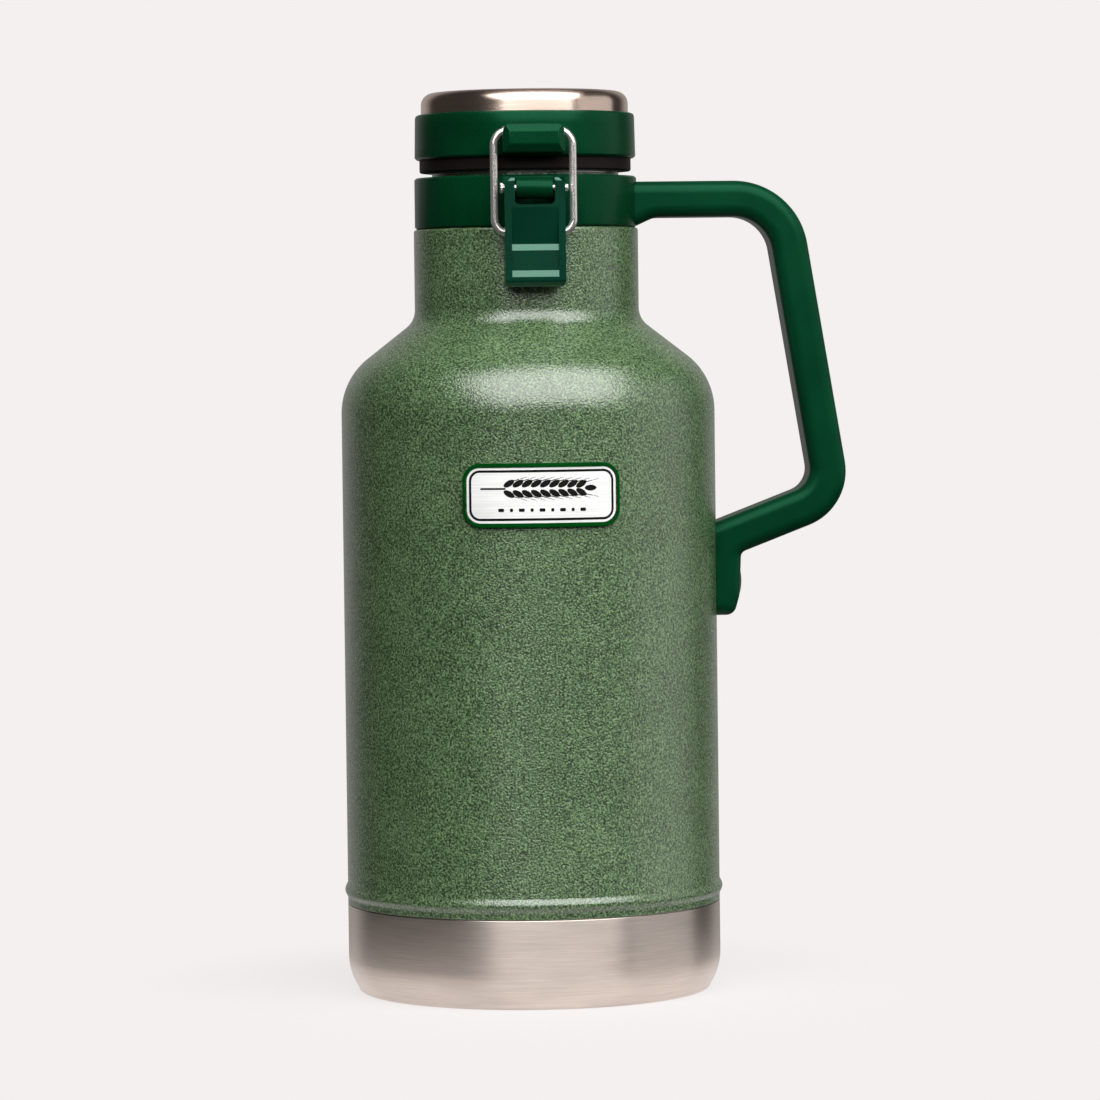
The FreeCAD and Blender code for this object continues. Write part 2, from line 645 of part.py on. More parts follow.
def make_lid_body():
    # Black moulding: visible band, deep skirt inside the cap, pocket for the plug.
    spigot = cap_radius - cap_wall - fit
    floor_z = band_z + band_height
    edge = 0.4
    body = turned([(plug_radius + fit, band_z), (band_radius - edge, band_z), (band_radius, band_z + edge),
                   (band_radius, floor_z - 0.05), (spigot, floor_z - 0.05), (spigot, ring_top_z),
                   (spigot - 2.0, ring_top_z), (spigot - 2.0, floor_z + 1.4), (0, floor_z + 1.4),
                   (0, floor_z - 1.2), (plug_radius + fit, floor_z - 1.2)])
    groove = tube(upper_neck_radius + 0.9, mouth_radius - 0.6, band_z - 1, band_z + seal_height)
    return body.cut(groove)


def make_lid_seal():
    inner = mouth_radius - 0.55
    outer = upper_neck_radius + 0.85
    top = band_z + seal_height - fit
    return turned([(inner, lip_z + fit), (outer - 0.3, lip_z + fit), (outer, lip_z + 0.35), (outer, top),
                   (inner, top)])


def make_lid_liner():
    # Steel pan under the lid that plugs the mouth.
    top = band_z + band_height - 1.25
    low = lip_z - plug_depth
    r = plug_radius
    return turned([(0, low), (r - 3.0, low), (r - 0.9, low + 0.9), (r, low + 3.0), (r, top),
                   (r - 0.7, top), (r - 0.7, low + 3.2), (r - 1.4, low + 1.5), (r - 3.2, low + 0.7),
                   (0, low + 0.7)])


def make_insulation(kind):
    if kind == "plug":
        r = plug_radius - 0.75
        low = lip_z - plug_depth + 0.75
        top = band_z + band_height - 1.3
        return turned([(0, low), (r - 2.6, low), (r, low + 3.0), (r, top), (0, top)])
    spigot = cap_radius - cap_wall - fit
    low = ring_z + 1.45
    top = lid_top_z - cap_dome - cap_wall - 0.1
    return turned([(0, low), (spigot - 2.05, low), (spigot - 2.05, top - 3.6), (spigot - 5.2, top - 0.5),
                   (spigot - 12, top), (0, top)])


def make_lever():
    # Lever: two ears, a sunk upper panel, a thumb hollow and a thick lip between side rails.
    tip_z = pivot_z - lever_reach
    face = pivot_out + lever_ear_radius
    half = lever_width / 2
    step_z = tip_z + 14.1
    thumb_z = tip_z + 5.4
    notch_low = pivot_z - 5.5
    ear_top = pivot_z + lever_ear_radius
    outline = [(lever_back, tip_z + 1.0), (lever_back + 1.0, tip_z), (face - 1.6, tip_z), (face, tip_z + 1.8),
               (face, ear_top), (pivot_out - lever_ear_radius, ear_top),
               (pivot_out - lever_ear_radius, pivot_z), (lever_back, pivot_z - 7.0)]
    lever = side_slab(outline, [0.6, 0.6, 1.0, 1.2, ear_corner, lever_ear_radius * 0.9, 0, 2.0], lever_width)
    lever = lever.common(front_slab([(-half, tip_z), (half, tip_z), (half, ear_top - ear_chamfer),
                                     (half - ear_chamfer, ear_top), (-half + ear_chamfer, ear_top),
                                     (-half, ear_top - ear_chamfer)], [1.8, 1.8, 1.2, 0.8, 0.8, 1.2], face + 5))
    # Notch between the ears.
    notch = front_slab([(-lever_ear_gap / 2, notch_low), (lever_ear_gap / 2, notch_low),
                        (lever_ear_gap / 2, ear_top + 5), (-lever_ear_gap / 2, ear_top + 5)],
                       [1.5, 1.5, 0, 0], face + 5)
    # Face between the rails: leaning upper panel, step, thumb face, step, lip.
    panel = side_slab([(face + 2, notch_low - 0.9), (face + 0.02, notch_low - 0.9),
                       (face - panel_depth, step_z), (face - thumb_depth, step_z - 2.0),
                       (face - thumb_depth + 0.2, thumb_z), (face + 0.1, thumb_z - 2.4), (face + 2, thumb_z - 2.4)],
                      [0, 0, 0.4, 0.35, 0.4, 0, 0], lever_width - 2 * lever_rail)
    # Hollow back, with a thick belt left round the wire holes.
    inner = half - 2.4
    back_y = -lever_back
    pocket_low = block((-inner, back_y - 2.9, tip_z + 2.2), (inner, back_y + 5, wire_z - wire_radius - 2.2))
    pocket_high = block((-inner, back_y - 4.4, wire_z + wire_radius + 1.6), (inner, back_y + 5, notch_low - 2.0))
    pin_hole = rod(latch_pin_radius + running, (-30, -pivot_out, pivot_z), (30, -pivot_out, pivot_z))
    lever = lever.cut([notch, panel, pocket_low, pocket_high, pin_hole])
    # Blind wire holes, flared where the wire bends away.
    straight_x = wire_half_width - wire_turn
    hole_r = wire_radius + running
    for side in (-1, 1):
        hole = rod(hole_r, (side * (half - wire_end_depth - 0.3), -wire_hinge_out, wire_z),
                   (side * (half + 1), -wire_hinge_out, wire_z))
        flare = Part.makeCone(hole_r, hole_r + 0.5, half + 0.1 - straight_x,
                              Vector(side * straight_x, -wire_hinge_out, wire_z), Vector(side, 0, 0))
        lever = lever.cut([hole, flare])
    return lever


def make_bail():
    # Open wire bail: top bar, two legs, ends turned in to the lever.
    tilt = math.atan2(wire_hinge_out - bar_out, bar_height)
    length = math.hypot(wire_hinge_out - bar_out, bar_height)

    def at(x, along):
        return (x, -wire_hinge_out + along * math.sin(tilt), wire_z + along * math.cos(tilt))

    w = wire_half_width
    end_x = lever_width / 2 - wire_end_depth
    c = wire_turn
    k = wire_corner
    cut = 1 - math.sqrt(0.5)
    edges = []
    for side in (-1, 1):
        edges.append([line(at(side * end_x, 0), at(side * (w - c), 0)),
                      arc(at(side * (w - c), 0), at(side * (w - c * cut), c * cut), at(side * w, c)),
                      line(at(side * w, c), at(side * w, length - k)),
                      arc(at(side * w, length - k), at(side * (w - k * cut), length - k * cut),
                          at(side * (w - k), length))])
    path = edges[0] + [line(at(-(w - k), length), at(w - k, length))] + list(reversed(edges[1]))
    spine = Part.Wire(Part.__sortEdges__(path))
    start = Vector(*at(-end_x, 0))
    profile = Part.Wire(Part.makeCircle(wire_radius, start, Vector(1, 0, 0)))
    return spine.makePipeShell([profile], True, True)


def make_latch_pin():
    half = lever_width / 2 + latch_pin_proud
    pin = rod(latch_pin_radius, (-half + 0.4, -pivot_out, pivot_z), (half, -pivot_out, pivot_z))
    head = rod(1.8, (-half, -pivot_out, pivot_z), (-lever_width / 2 - 0.1, -pivot_out, pivot_z))
    return pin.fuse(head)


def make_hinge_pin():
    half = knuckle_width / 2 + hinge_side_gap + hinge_ear + 0.4
    return rod(hinge_pin_radius, (-half, hinge_out, hinge_z), (half, hinge_out, hinge_z))


os.makedirs("parts", exist_ok=True)
save(make_outer_shell(), "outer_shell")
save(make_base_cup(), "base_cup")
save(make_inner_vessel(), "inner_vessel")
save(make_inner_neck(), "inner_neck")
save(make_port_disc(), "port_disc")
save(make_getter(), "getter")
save(make_collar(), "collar")
save(make_handle(), "handle")
save(make_bracket(), "handle_bracket")
save(make_handle_screw(), "handle_screw")
save(make_screw_cap(), "screw_cap")
badge_border, badge_plate = make_badge()
save(badge_border, "badge_border")
save(badge_plate, "badge_plate")
save(make_latch_pin(), "latch_pin")
save(make_hinge_pin(), "hinge_pin")
save(make_lid_ring(), "lid_ring")
save(make_lid_cap(), "lid_cap")
save(make_lid_body(), "lid_body")
save(make_lid_seal(), "lid_seal")
save(make_lid_liner(), "lid_liner")
save(make_insulation("plug"), "plug_foam")
save(make_insulation("lid"), "lid_foam")
save(make_lever(), "latch_lever")
save(make_bail(), "bail_wire")
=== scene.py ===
import math

import bpy
import bmesh
from mathutils import Matrix, Vector


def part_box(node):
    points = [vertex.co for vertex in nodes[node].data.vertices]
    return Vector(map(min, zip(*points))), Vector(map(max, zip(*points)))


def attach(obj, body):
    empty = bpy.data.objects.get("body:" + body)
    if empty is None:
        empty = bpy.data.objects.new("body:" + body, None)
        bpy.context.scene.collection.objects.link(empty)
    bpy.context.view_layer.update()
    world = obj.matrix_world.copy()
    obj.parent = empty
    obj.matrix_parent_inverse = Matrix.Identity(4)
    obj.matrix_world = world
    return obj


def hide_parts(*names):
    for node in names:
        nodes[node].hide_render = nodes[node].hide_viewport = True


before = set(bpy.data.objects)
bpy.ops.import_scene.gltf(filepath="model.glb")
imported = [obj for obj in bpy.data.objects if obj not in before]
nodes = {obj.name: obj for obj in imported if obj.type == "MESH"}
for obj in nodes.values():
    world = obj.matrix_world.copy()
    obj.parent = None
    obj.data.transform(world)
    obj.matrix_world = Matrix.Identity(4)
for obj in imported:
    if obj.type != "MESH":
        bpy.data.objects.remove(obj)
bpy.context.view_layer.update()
print("frame loaded:", len(nodes), "CAD pieces")

mm = 0.001  # the frame is in metres, most sizes below are in millimetres


def finishMesh(name, bm):
    # what was drawn in bm becomes a piece of its own
    mesh = bpy.data.meshes.new(name)
    bm.to_mesh(mesh)
    bm.free()
    obj = bpy.data.objects.new(name, mesh)
    bpy.context.scene.collection.objects.link(obj)
    return obj


def smoothByAngle(obj, degrees):
    # smooth faces, with a crease kept wherever two faces meet more sharply
    mesh = obj.data
    bm = bmesh.new()
    bm.from_mesh(mesh)
    limit = math.radians(degrees)
    for face in bm.faces:
        face.smooth = True
    for edge in bm.edges:
        edge.smooth = edge.is_manifold and edge.calc_face_angle(0.0) < limit
    bm.to_mesh(mesh)
    bm.free()


def roundedOutline(corners, steps=6):
    # corners are (a, b, radius); each becomes an arc tangent to its two sides
    points = []
    count = len(corners)
    for i, (a, b, radius) in enumerate(corners):
        here = Vector((a, b))
        if radius <= 0:
            points.append(here)
            continue
        before = (Vector(corners[i - 1][:2]) - here).normalized()
        after = (Vector(corners[(i + 1) % count][:2]) - here).normalized()
        half = before.angle(after) / 2
        if half > math.radians(89):  # nearly in line, so there is nothing to round
            points.append(here)
            continue
        centre = here + (before + after).normalized() * (radius / math.sin(half))
        start = here + before * (radius / math.tan(half)) - centre
        end = here + after * (radius / math.tan(half)) - centre
        sweep = start.angle_signed(end)
        arcSteps = max(2, int(steps * abs(sweep) / (math.pi / 2)) + 1)
        for j in range(arcSteps + 1):
            angle = -sweep * j / arcSteps
            points.append(centre + Matrix.Rotation(angle, 2) @ start)
    return points


def joinRings(bm, first, second):
    # a band of faces between two rings; a ring of one vertex is a point on the axis
    segments = max(len(first), len(second))
    if segments == 1:
        return
    for k in range(segments):
        n = (k + 1) % segments
        if len(first) == 1:
            bm.faces.new((first[0], second[n], second[k]))
        elif len(second) == 1:
            bm.faces.new((first[k], first[n], second[0]))
        else:
            bm.faces.new((first[k], first[n], second[n], second[k]))


def lathe(name, corners, segments, steps=6):
    # corners are (radius, height, rounding) in millimetres, turned about Z
    outline = roundedOutline(corners, steps)
    bm = bmesh.new()
    rings = []
    for point in outline:
        radius, height = max(point.x, 0.0) * mm, point.y * mm
        if radius < 1e-7:
            rings.append([bm.verts.new((0, 0, height))])
            continue
        ring = []
        for k in range(segments):
            angle = 2 * math.pi * k / segments
            ring.append(bm.verts.new((radius * math.cos(angle), radius * math.sin(angle), height)))
        rings.append(ring)
    for low, high in zip(rings, rings[1:] + rings[:1]):
        joinRings(bm, low, high)
    bmesh.ops.remove_doubles(bm, verts=bm.verts, dist=1e-7)
    bmesh.ops.recalc_face_normals(bm, faces=bm.faces)
    obj = finishMesh(name, bm)
    smoothByAngle(obj, 32)
    return obj


def nodeTop(name):
    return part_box(name)[1]


def nodeLow(name):
    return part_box(name)[0]


class Recipe:
    # a material being built: adds nodes and joins them; its sizes are in metres

    def __init__(self, name):
        self.material = bpy.data.materials.new(name)
        self.material.use_nodes = True
        self.tree = self.material.node_tree
        self.shader = self.tree.nodes["Principled BSDF"]

    def add(self, kind, **settings):
        node = self.tree.nodes.new(kind)
        for key, value in settings.items():
            if hasattr(node, key):
                setattr(node, key, value)
            else:
                node.inputs[key.replace("_", " ")].default_value = value
        return node

    def join(self, source, output, target, entry):
        self.tree.links.new(source.outputs[output], target.inputs[entry])

    def coordinates(self, scale=(1, 1, 1)):
        place = self.add("ShaderNodeTexCoord")
        mapping = self.add("ShaderNodeMapping")
        mapping.inputs["Scale"].default_value = scale
        self.join(place, "Object", mapping, "Vector")
        return mapping

    def noise(self, where, size, detail=3.0, roughness=0.5):
        # size is how large the pattern's grains are
        node = self.add("ShaderNodeTexNoise", Scale=1.0 / size, Detail=detail, Roughness=roughness)
        self.join(where, "Vector", node, "Vector")
        return node

    def ramp(self, source, stops):
        node = self.add("ShaderNodeValToRGB")
        self.tree.links.new(source, node.inputs["Fac"])
        while len(node.color_ramp.elements) < len(stops):
            node.color_ramp.elements.new(0.5)
        for element, (place, colour) in zip(node.color_ramp.elements, stops):
            element.position = place
            element.color = (*colour, 1.0)
        return node.outputs["Color"]

    def mathNode(self, operation, *values):
        node = self.add("ShaderNodeMath", operation=operation)
        for index, value in enumerate(values):
            if isinstance(value, (int, float)):
                node.inputs[index].default_value = value
            else:
                self.tree.links.new(value, node.inputs[index])
        return node.outputs[0]

    def paintWith(self, colour):
        self.tree.links.new(colour, self.shader.inputs["Base Color"])

    def bump(self, height, strength, distance, entry="Normal"):
        node = self.add("ShaderNodeBump")
        node.inputs["Strength"].default_value = strength
        node.inputs["Distance"].default_value = distance
        self.tree.links.new(height, node.inputs["Height"])
        self.join(node, "Normal", self.shader, entry)

    def roughness(self, source, low, high):
        node = self.add("ShaderNodeMapRange")
        node.inputs["To Min"].default_value = low
        node.inputs["To Max"].default_value = high
        self.tree.links.new(source, node.inputs["Value"])
        self.tree.links.new(node.outputs["Result"], self.shader.inputs["Roughness"])


hammeredPaintLook = {
    # dark and pale greens: partly the enamel's mottle, partly painted shade in the grain's low spots and
    # painted light on its high spots
    "darkMottleAndShade": (0.011, 0.026, 0.007),
    "midGreen": (0.075, 0.143, 0.054),
    "paleMottleAndLight": (0.198, 0.312, 0.148),
    "grain": 0.00066,
    "cloud": 0.018,
    "cloudShare": 0.10,
    "bumpStrength": 1.0,
    "bumpDepth": 0.00050,
    "roughness": (0.50, 0.60),
    "specular": 0.25,
    "coatBump": 0.30,
    "coatIndex": 1.85,
    "coatRoughness": 0.16,
}


def hammeredPaint():
    # baked enamel that dried into fine leathery grain; its colour follows the grain, darker in the low spots
    # and paler on the high spots, partly the enamel's own mottle and partly painted shade and painted light
    # on the relief
    look = hammeredPaintLook
    paint = Recipe("hammeredPaint")
    where = paint.coordinates()
    grain = paint.noise(where, look["grain"], detail=2.5, roughness=0.55)
    cloud = paint.noise(where, look["cloud"], detail=2.0)
    drift = paint.mathNode("MULTIPLY_ADD", cloud.outputs["Fac"], look["cloudShare"], -look["cloudShare"] / 2)
    shade = paint.mathNode("ADD", grain.outputs["Fac"], drift)
    # colour from the same noise as the bump: the darker low spots and paler high spots are partly painted
    # shade and painted light
    paint.paintWith(paint.ramp(shade, [(0.36, look["darkMottleAndShade"]), (0.51, look["midGreen"]),
                                       (0.66, look["paleMottleAndLight"])]))
    paint.bump(grain.outputs["Fac"], look["bumpStrength"], look["bumpDepth"])
    paint.bump(grain.outputs["Fac"], look["coatBump"], look["bumpDepth"], "Coat Normal")
    paint.roughness(cloud.outputs["Fac"], *look["roughness"])
    paint.shader.inputs["Specular IOR Level"].default_value = look["specular"]
    paint.shader.inputs["Coat Weight"].default_value = 1.0
    paint.shader.inputs["Coat IOR"].default_value = look["coatIndex"]
    paint.shader.inputs["Coat Roughness"].default_value = look["coatRoughness"]
    return paint.material


# greens of the moulded pieces: roughness, strength and tint of the shine, then the texture's size and depth
ringPlasticLook = {
    "colour": (0.0010, 0.034, 0.0115),
    "roughness": 0.27,
    "gloss": 0.20,
    "sheen": (0.20, 1.0, 0.55),
    "texture": 0.0004,
    "relief": 0.08,
}
handlePlasticLook = {
    "colour": (0.0012, 0.036, 0.0135),
    "roughness": 0.34,
    "gloss": 0.20,
    "sheen": (0.20, 1.0, 0.55),
    "texture": 0.0006,
    "relief": 0.2,
}
leverPlasticLook = {
    "colour": (0.0004, 0.032, 0.0165),
    "roughness": 0.17,
    "gloss": 0.95,
    "sheen": (0.55, 1.0, 0.80),
    "texture": 0.0004,
    "relief": 0.03,
}
rimPlasticLook = {
    "colour": (0.0010, 0.055, 0.006),
    "roughness": 0.4,
    "gloss": 0.04,
    "sheen": (0.20, 1.0, 0.55),
    "texture": 0.0004,
    "relief": 0.18,
}


def mouldedPlastic(name, look):
    # injection moulded nylon with a fine spark-eroded texture
    plastic = Recipe(name)
    where = plastic.coordinates()
    fine = plastic.noise(where, look["texture"], detail=2.0)
    broad = plastic.noise(where, 0.02, detail=3.0)
    darker = tuple(c * 0.86 for c in look["colour"])
    lighter = tuple(c * 1.12 for c in look["colour"])
    plastic.paintWith(plastic.ramp(broad.outputs["Fac"], [(0.35, darker), (0.65, lighter)]))
    plastic.bump(fine.outputs["Fac"], look["relief"], 0.00006)
    plastic.roughness(fine.outputs["Fac"], look["roughness"] - 0.05, look["roughness"] + 0.07)
    plastic.shader.inputs["Specular IOR Level"].default_value = look["gloss"]
    plastic.shader.inputs["Specular Tint"].default_value = (*look["sheen"], 1.0)
    return plastic.material


satinSteel = {
    "scratch": (60, 60, 4200),  # how often the lines change across, back and up the piece
    "roughness": 0.36,
    "spread": 0.10,             # how far the roughness strays along the lines
    "streak": 0.85,
    "metal": 1.0,
}
cupSteelLook = {**satinSteel, "colour": (0.82, 0.715, 0.645)}
capSteelLook = {**satinSteel, "colour": (0.95, 0.74, 0.625), "roughness": 0.25}
vesselSteelLook = {**satinSteel, "colour": (0.62, 0.60, 0.57), "roughness": 0.34}
badgeSteelLook = {**satinSteel, "colour": (1.0, 1.0, 0.99), "roughness": 0.42, "scratch": (25, 25, 3000),
                  "metal": 0.0}


def brushedSteel(name, look):
    # satin stainless: fine lines round the axis, faint cloudy patches
    colour, roughness, spread = look["colour"], look["roughness"], look["spread"]
    steel = Recipe(name)
    lines = steel.noise(steel.coordinates(look["scratch"]), 1.0, detail=4.0, roughness=0.65)
    cloud = steel.noise(steel.coordinates((1, 1, 3)), 0.03, detail=3.0)
    drift = steel.mathNode("MULTIPLY", cloud.outputs["Fac"], 0.4)
    tone = steel.mathNode("MULTIPLY_ADD", lines.outputs["Fac"], 0.6, drift)
    darker = tuple(c * 0.80 for c in colour)
    steel.paintWith(steel.ramp(tone, [(0.38, darker), (0.62, colour)]))
    steel.shader.inputs["Metallic"].default_value = look["metal"]
    steel.shader.inputs["Anisotropic"].default_value = look["streak"]
    steel.shader.inputs["Anisotropic Rotation"].default_value = 0.25
    around = steel.add("ShaderNodeTangent", direction_type="RADIAL", axis="Z")
    steel.join(around, "Tangent", steel.shader, "Tangent")
    steel.roughness(lines.outputs["Fac"], roughness - spread / 2, roughness + spread / 2)
    steel.bump(lines.outputs["Fac"], 0.10, 0.00003)
    return steel.material


wireLook = {
    "dull": (0.82, 0.76, 0.72),
    "bright": (0.98, 0.94, 0.91),
    "metal": 0.85,
    "roughness": (0.15, 0.24),
}


def polishedWire():
    # drawn spring wire: bright, with faint die marks along it
    wire = Recipe("polishedWire")
    marks = wire.noise(wire.coordinates((2600, 2600, 120)), 1.0, detail=3.0)
    wire.paintWith(wire.ramp(marks.outputs["Fac"], [(0.3, wireLook["dull"]), (0.7, wireLook["bright"])]))
    wire.shader.inputs["Metallic"].default_value = wireLook["metal"]
    wire.roughness(marks.outputs["Fac"], *wireLook["roughness"])
    wire.bump(marks.outputs["Fac"], 0.05, 0.00002)
    return wire.material


blackBandLook = {"colour": (0.011, 0.008, 0.007), "roughness": 0.5, "gloss": 0.08}
sealLook = {"colour": (0.50, 0.50, 0.48), "roughness": 0.5, "gloss": 0.3}


def softRubber(name, look):
    # dull skin with a fine even grain
    rubber = Recipe(name)
    fine = rubber.noise(rubber.coordinates(), 0.0006, detail=3.0)
    darker = tuple(c * 0.8 for c in look["colour"])
    rubber.paintWith(rubber.ramp(fine.outputs["Fac"], [(0.3, darker), (0.7, look["colour"])]))
    rubber.roughness(fine.outputs["Fac"], look["roughness"] - 0.06, look["roughness"] + 0.08)
    rubber.shader.inputs["Specular IOR Level"].default_value = look["gloss"]
    rubber.bump(fine.outputs["Fac"], 0.2, 0.00005)
    return rubber.material


inkLook = {
    "deep": (0.003, 0.003, 0.003),
    "thin": (0.007, 0.007, 0.006),
    "roughness": (0.40, 0.50),
    "gloss": 0.15,
}


def printInk():
    ink = Recipe("badgeInk")
    fine = ink.noise(ink.coordinates(), 0.0005, detail=2.0)
    ink.paintWith(ink.ramp(fine.outputs["Fac"], [(0.3, inkLook["deep"]), (0.7, inkLook["thin"])]))
    ink.roughness(fine.outputs["Fac"], *inkLook["roughness"])
    ink.shader.inputs["Specular IOR Level"].default_value = inkLook["gloss"]
    return ink.material


foamLook = {
    "bead": (0.86, 0.83, 0.74),
    "gap": (0.66, 0.62, 0.54),
    "beadsPerMetre": 450.0,
    "roughness": 0.8,
}


def foamBeads():
    foam = Recipe("foamBeads")
    cells = foam.add("ShaderNodeTexVoronoi", Scale=foamLook["beadsPerMetre"])
    foam.join(foam.coordinates(), "Vector", cells, "Vector")
    foam.paintWith(foam.ramp(cells.outputs["Distance"], [(0.0, foamLook["bead"]), (0.8, foamLook["gap"])]))
    foam.shader.inputs["Roughness"].default_value = foamLook["roughness"]
    foam.bump(cells.outputs["Distance"], 0.4, 0.0002)
    return foam.material


paintMaterial = hammeredPaint()
ringPlastic = mouldedPlastic("greenRingPlastic", ringPlasticLook)
handlePlastic = mouldedPlastic("greenHandlePlastic", handlePlasticLook)
leverPlastic = mouldedPlastic("greenLeverPlastic", leverPlasticLook)
rimPlastic = mouldedPlastic("greenBadgeRim", rimPlasticLook)
blackPlastic = softRubber("blackBand", blackBandLook)
sealRubber = softRubber("sealSilicone", sealLook)
cupSteel = brushedSteel("cupSteel", cupSteelLook)
capSteel = brushedSteel("capSteel", capSteelLook)
vesselSteel = brushedSteel("vesselSteel", vesselSteelLook)
wireSteel = polishedWire()
badgeSteel = brushedSteel("badgeSteel", badgeSteelLook)
inkMaterial = printInk()
foamMaterial = foamBeads()
print("materials made")


def dress(obj, material):
    obj.data.materials.clear()
    obj.data.materials.append(material)


def dressNode(name, material):
    obj = nodes[name]
    for place in obj.material_slots:
        place.material = material
    if not obj.material_slots:
        obj.data.materials.append(material)


def softenEdges(name, width):
    # small moulded radius, in millimetres, on a CAD piece's sharp edges
    obj = nodes[name]
    weld = obj.modifiers.new("weld", "WELD")
    weld.merge_threshold = 0.002 * mm
    bevel = obj.modifiers.new("softEdge", "BEVEL")
    bevel.width = width * mm
    bevel.segments = 3
    bevel.limit_method = "ANGLE"
    bevel.angle_limit = math.radians(35)
    bevel.harden_normals = True
    bevel.use_clamp_overlap = True


shell = {
    "wall": 0.8,
    "neck": 38.1,           # radius under the collar's edge
    "upperNeck": 31.7,      # radius inside the collar
    "collarGap": 0.2,
    "coneFoot": 208.5,      # heights
    "coneTop": 228.3,
    "shoulderRadius": 23.6,
    "neckFillet": 7.6,
    "neckEdge": 0.9,
    "beadRise": 4.5,
    "beadHeight": 5.3,
    "beadSteps": 14,
    "seamEdge": 0.35,
}


def makeBottleShell():
    low, top = nodeLow("outer_shell").z / mm, nodeTop("outer_shell").z / mm
    body = nodeTop("base_cup").x / mm
    beadOut = nodeTop("outer_shell").x / mm - body
    neckTop = nodeLow("collar").z / mm - shell["collarGap"]
    neck, upper, wall = shell["neck"], shell["upperNeck"], shell["wall"]
    corners = [(body, low, shell["seamEdge"])]
    # the bead swells out and back in one smooth wave
    beadMiddle = low + shell["beadRise"]
    for i in range(shell["beadSteps"] + 1):
        along = i / shell["beadSteps"]
        lift = math.sin(math.pi * along) ** 1.5 * beadOut
        corners.append((body + lift, beadMiddle + (along - 0.5) * shell["beadHeight"], 0))
    corners += [(body, shell["coneFoot"], shell["shoulderRadius"]),
                (neck, shell["coneTop"], shell["neckFillet"]),
                (neck, neckTop, shell["neckEdge"]), (upper, neckTop, 0.3), (upper, top, 0),
                (upper - wall, top, 0), (upper - wall, neckTop - wall, 0),
                (neck - wall, neckTop - wall, 0.5),
                (neck - wall, shell["coneTop"] - 0.3, shell["neckFillet"] + wall),
                (body - wall, shell["coneFoot"] - 0.3, shell["shoulderRadius"] - wall),
                (body - wall, low, 0)]
    obj = lathe("bottleShell", corners, segments=256, steps=20)
    dress(obj, paintMaterial)
    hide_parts("outer_shell")
    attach(obj, "bottle")


cup = {
    "wall": 0.9,
    "footRadius": 60.2,
    "footCurve": 19.4,      # large radius that draws the side in towards the foot
    "footEdge": (2.0, 1.6),  # small rounding at the foot: how wide and how high
    "ringInside": 53.6,     # the foot ring's inner edge, then where the recess levels out
    "recessEdge": 50.6,
    "recess": 2.2,
    "spigotHeight": 3.0,
    "spigot": (0.85, 1.65),  # how far its two faces stand in from the cup's side
    "sideSteps": 16,
    "edgeSteps": 8,
}


def makeBaseCup():
    body = nodeTop("base_cup").x / mm
    spigotTop = nodeTop("base_cup").z / mm
    top = spigotTop - cup["spigotHeight"]
    wall, foot, recess, curve = cup["wall"], cup["footRadius"], cup["recess"], cup["footCurve"]
    ringInside, recessEdge = cup["ringInside"], cup["recessEdge"]
    edgeWide, edgeHigh = cup["footEdge"]
    spigotOut, spigotIn = (body - inset for inset in cup["spigot"])
    curveTop = edgeHigh + math.sqrt(curve ** 2 - (curve - (body - foot)) ** 2)
    outer = [(body, top, 0.3)]
    for i in range(cup["sideSteps"] + 1):
        z = curveTop + (edgeHigh - curveTop) * i / cup["sideSteps"]
        outer.append((body - curve + math.sqrt(curve ** 2 - (curveTop - z) ** 2), z, 0))
    for i in range(1, cup["edgeSteps"] + 1):
        angle = math.radians(90 * i / cup["edgeSteps"])
        outer.append((foot - edgeWide * (1 - math.cos(angle)), edgeHigh * (1 - math.sin(angle)), 0))
    outer += [(ringInside, 0, 1.2), (recessEdge, recess, 1.2), (0, recess, 0)]
    inner = [(0, recess + wall, 0), (recessEdge - 0.4, recess + wall, 1.5), (ringInside - 0.4, wall, 1.0),
             (foot - edgeWide, wall, 0.6), (foot - 0.4, 2 * edgeHigh, 2.0),
             (body - wall - 0.6, curveTop - 2.0, 6.0), (body - wall, curveTop + 1.0, 3.0),
             (body - wall, top - 2.5, 0.3), (spigotIn, top - 1.0, 0.3), (spigotIn, spigotTop, 0.2),
             (spigotOut, spigotTop, 0.2), (spigotOut, top, 0)]
    obj = lathe("baseCup", outer + inner, segments=256)
    dress(obj, cupSteel)
    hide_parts("base_cup")
    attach(obj, "bottle")


makeBottleShell()
makeBaseCup()
for name in ("inner_vessel", "inner_neck", "port_disc", "getter"):
    dressNode(name, vesselSteel)
print("bottle shell and base cup made")

lidCap = {
    "corner": 4.1,
    "wall": 0.8,
    "dome": 1.0,
    "domeEdge": 0.3,        # flat strip between the rounded corner and the dome
    "domeSteps": 10,
}


def makeLidCap():
    radius = nodeTop("lid_cap").x / mm
    low, top = nodeLow("lid_cap").z / mm, nodeTop("lid_cap").z / mm
    wall, dome, corner, steps = lidCap["wall"], lidCap["dome"], lidCap["corner"], lidCap["domeSteps"]
    edgeTop = top - dome
    flat = radius - corner - lidCap["domeEdge"]
    corners = [(radius, low, 0.2), (radius, edgeTop, corner)]
    for i in range(1, steps + 1):
        r = flat * (1 - i / steps)
        corners.append((r, top - dome * (r / radius) ** 2, 0))
    for i in range(steps, -1, -1):
        r = flat * (1 - i / steps)
        corners.append((r, top - wall - dome * (r / radius) ** 2, 0))
    corners += [(radius - wall, edgeTop - wall, corner - wall), (radius - wall, low, 0.2)]
    obj = lathe("lidCap", corners, segments=224, steps=12)
    dress(obj, capSteel)
    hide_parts("lid_cap")
    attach(obj, "lid")


makeLidCap()
for name, material in (("lid_ring", ringPlastic), ("lid_body", blackPlastic), ("lid_seal", sealRubber),
                       ("lid_liner", vesselSteel), ("plug_foam", foamMaterial), ("lid_foam", foamMaterial)):
    dressNode(name, material)
print("lid made")

